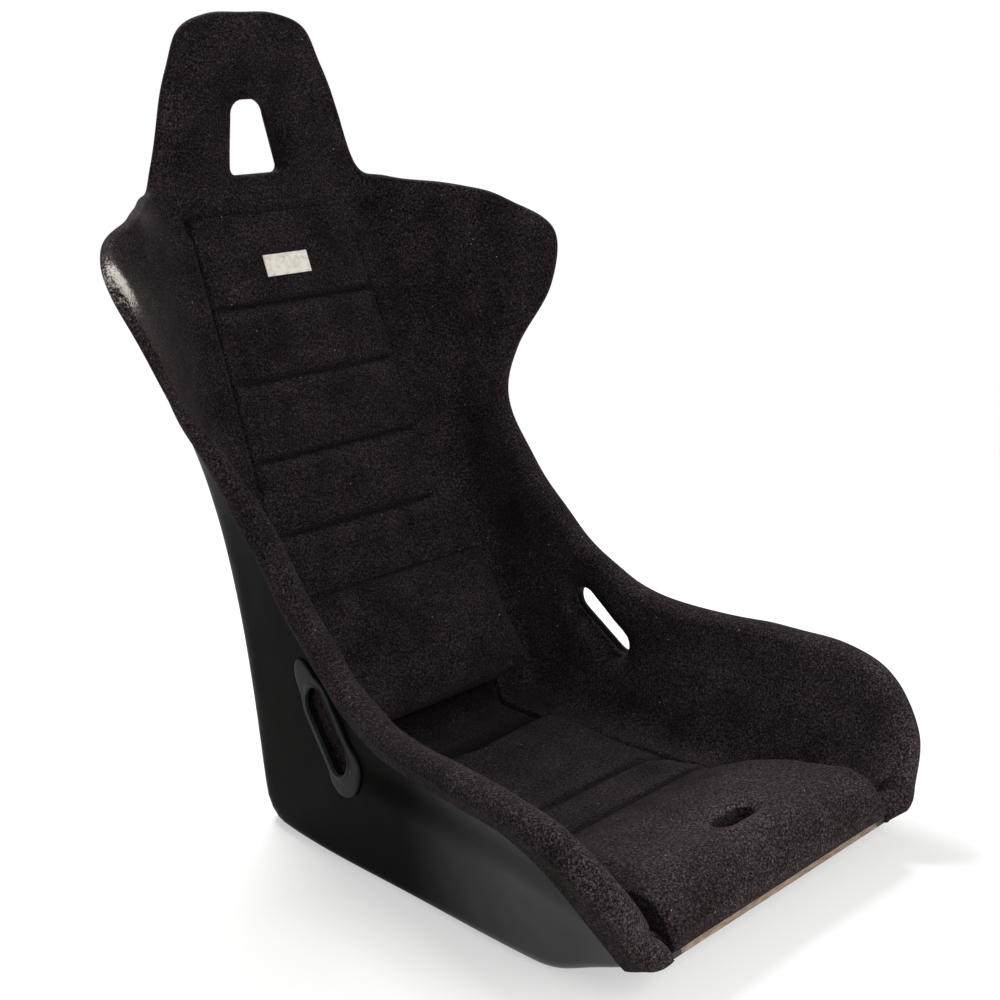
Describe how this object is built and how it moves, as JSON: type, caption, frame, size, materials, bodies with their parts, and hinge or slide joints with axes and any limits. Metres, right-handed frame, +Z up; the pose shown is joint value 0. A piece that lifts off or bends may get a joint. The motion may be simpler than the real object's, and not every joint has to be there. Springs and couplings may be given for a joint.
{
  "type": "racing seat",
  "caption": "Fixed-back racing bucket seat with shoulder wings, a headrest with a harness opening, lap and crotch belt slots, and a lift-out cushion and sliding lumbar pad in velour.",
  "frame": {"origin": "on the flat base that the seat stands on, on the centre line, under the lap-belt slots", "axes": "+X to the sitter's left, -Y the way the sitter faces, +Z up"},
  "size_m": [0.5884, 0.7623, 0.831],
  "materials": {
    "laminate": "satin moulded glass-fibre laminate",
    "velour": "short-pile velour over foam",
    "plastic": "moulded",
    "woven": "woven label",
    "tape": "hook-and-loop tape",
    "steel": "zinc plated"
  },
  "bodies": {
    "seat": {"shell": "laminate", "headrest_pad": "velour", "side_trim_left": "velour", "side_trim_right": "velour", "back_pad": "velour", "hip_lining": "velour", "label": "woven", "lap_slot_bezel_left": "plastic", "lap_slot_bezel_right": "plastic", "harness_opening_edging": "plastic", "crotch_slot_bezel": "plastic", "mount_plate_left": "steel", "mount_plate_right": "steel", "mount_insert_front_left": "steel", "mount_insert_front_right": "steel", "mount_insert_rear_left": "steel", "mount_insert_rear_right": "steel", "cushion_hook_strip_left": "tape", "cushion_hook_strip_right": "tape"},
    "cushion": {"seat_cushion": "velour", "cushion_loop_strip_left": "tape", "cushion_loop_strip_right": "tape"},
    "lumbar": {"lumbar_pad": "velour", "lumbar_hook_strip_upper": "tape", "lumbar_hook_strip_lower": "tape"}
  },
  "joints": [
    {"name": "cushion_lift", "type": "slide", "parent": "seat", "child": "cushion", "axis": [0, 0, 1], "range_m": [0, 0.1]},
    {"name": "lumbar_slide", "type": "slide", "parent": "seat", "child": "lumbar", "axis": [0, 0.342, 0.9397], "range_m": [0, 0.05]}
  ]
}
